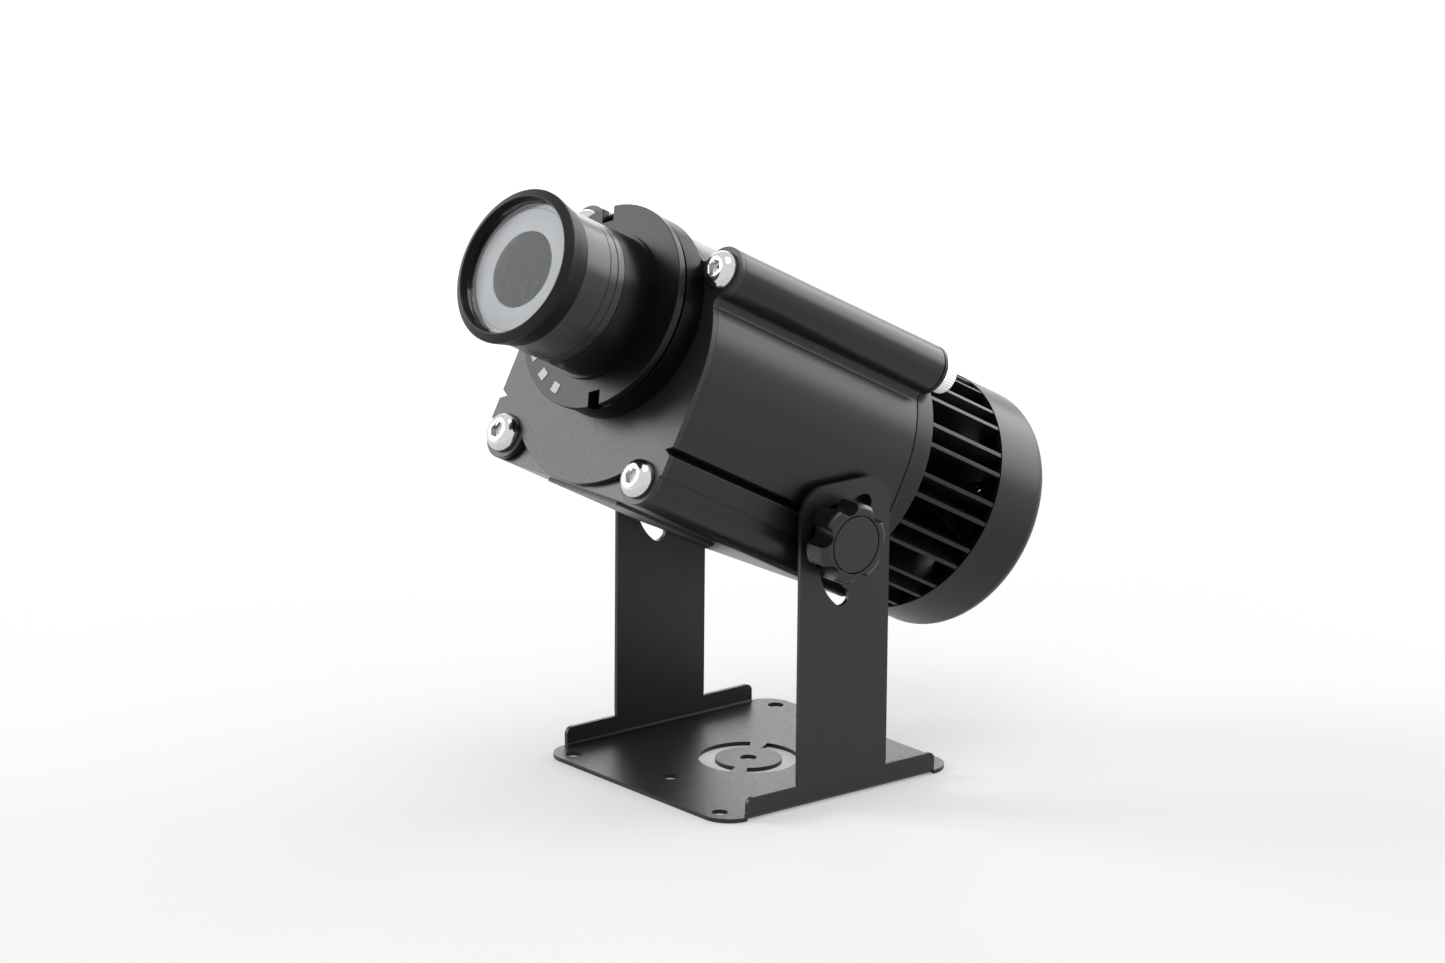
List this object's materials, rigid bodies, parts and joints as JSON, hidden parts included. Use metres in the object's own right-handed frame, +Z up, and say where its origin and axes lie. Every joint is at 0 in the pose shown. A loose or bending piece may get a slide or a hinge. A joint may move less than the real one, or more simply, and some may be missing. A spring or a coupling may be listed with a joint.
{
  "type": "gobo projector",
  "caption": "Small LED gobo projector: a finned tubular head with a focusing lens, tilting in a bent sheet yoke with star knobs.",
  "frame": {"origin": "centre of the base plate's centre hole, on the plate's underside", "axes": "+Z up from the base plate, the lens looks towards -Y, the tilt axis runs along X"},
  "size_m": [0.1294, 0.2347, 0.2232],
  "materials": {
    "yoke_black": "satin powder coat",
    "body_black": "satin black anodised extrusion",
    "plate_black": "satin black anodised",
    "sink_black": "satin black anodised, machined",
    "cap_black": "satin black anodised, turned",
    "lens_black": "satin black anodised, turned",
    "bezel_black": "satin black anodised, turned",
    "inner_black": "matt black anodised",
    "stop_grey": "matt",
    "screw_bright": "polished",
    "screw_steel": "plain",
    "screw_black": "blackened",
    "knob_plastic": "satin moulded",
    "knob_cap_plastic": "satin moulded",
    "spacer_nylon": "plain",
    "lens_glass": "polished",
    "gobo_glass": "coated",
    "mark_white": "printed",
    "led_white": "ceramic-like",
    "led_phosphor": "silicone",
    "board_green": "solder mask",
    "component_black": "moulded",
    "fan_plastic": "moulded"
  },
  "bodies": {
    "bracket": {"yoke": "yoke_black"},
    "head": {"pivot_screws": "screw_black", "pivot_spacers": "spacer_nylon", "clamp_spacers": "spacer_nylon", "housing": "body_black", "front_plate": "plate_black", "front_screws": "screw_bright", "bottom_cover": "plate_black", "bottom_cover_screws": "screw_black", "lens_collar": "lens_black", "collar_screws": "screw_steel", "gobo_holder": "inner_black", "gobo": "gobo_glass", "gobo_clip": "screw_steel", "condenser_tube": "inner_black", "condenser_tube_screws": "screw_steel", "condenser_lenses": "lens_glass", "condenser_lock_rings": "inner_black", "led_board": "led_white", "led_light_field": "led_phosphor", "led_holder": "led_white", "led_screws": "screw_steel", "driver_board": "board_green", "driver_components": "component_black", "rear_flange": "sink_black", "heat_sink": "sink_black", "heat_sink_screws": "screw_steel", "rear_screws": "screw_steel", "rear_cap": "cap_black", "cap_screws": "screw_black", "fan_frame": "fan_plastic", "fan_screws": "screw_black", "power_inlet": "component_black", "power_inlet_nut": "screw_steel"},
    "knob_right": {"knob_right": "knob_plastic", "knob_cap_right": "knob_cap_plastic", "knob_stud_right": "screw_steel", "knob_washer_right": "screw_steel"},
    "knob_left": {"knob_left": "knob_plastic", "knob_cap_left": "knob_cap_plastic", "knob_stud_left": "screw_steel", "knob_washer_left": "screw_steel"},
    "lens_unit": {"lens_flange": "lens_black", "index_marks": "mark_white", "lens_tube": "lens_black", "focus_key_screw": "screw_black", "rear_lens": "lens_glass", "rear_lens_lock_ring": "inner_black"},
    "focus_ring": {"focus_ring": "lens_black"},
    "lens_barrel": {"lens_barrel": "lens_black", "bezel_ring": "bezel_black", "front_lens": "lens_glass", "lens_stop": "stop_grey", "middle_lens": "lens_glass", "middle_lens_lock_ring": "inner_black"},
    "fan_rotor": {"fan_rotor": "fan_plastic"}
  },
  "joints": [
    {"name": "head_tilt", "type": "hinge", "parent": "bracket", "child": "head", "pos_m": [0, 0.0096, 0.0883], "axis": [-1, 0, 0], "range_deg": [-73, 57]},
    {"name": "knob_right_turn", "type": "hinge", "parent": "head", "child": "knob_right", "pos_m": [0.055, -0.00629, 0.09675], "axis": [1, 0, 0], "range_deg": [0, 360]},
    {"name": "knob_left_turn", "type": "hinge", "parent": "head", "child": "knob_left", "pos_m": [-0.055, -0.00629, 0.09675], "axis": [-1, 0, 0], "range_deg": [0, 360]},
    {"name": "lens_unit_turn", "type": "hinge", "parent": "head", "child": "lens_unit", "pos_m": [0, -0.0672, 0.17817], "axis": [0, -0.8829, 0.4695], "range_deg": [0, 33]},
    {"name": "focus_turn", "type": "hinge", "parent": "lens_unit", "child": "focus_ring", "pos_m": [0, -0.08486, 0.18756], "axis": [0, -0.8829, 0.4695], "range_deg": [0, 275]},
    {"name": "focus_slide", "type": "slide", "parent": "lens_unit", "child": "lens_barrel", "axis": [0, -0.8829, 0.4695], "range_m": [0, 0.0075]},
    {"name": "fan_spin", "type": "hinge", "parent": "head", "child": "fan_rotor", "pos_m": [0, 0.08558, 0.0821], "axis": [0, -0.8829, 0.4695], "continuous": true}
  ],
  "couplings": [
    {"joint": "focus_turn", "follows": "focus_slide", "rad_per_m": 628.32}
  ]
}
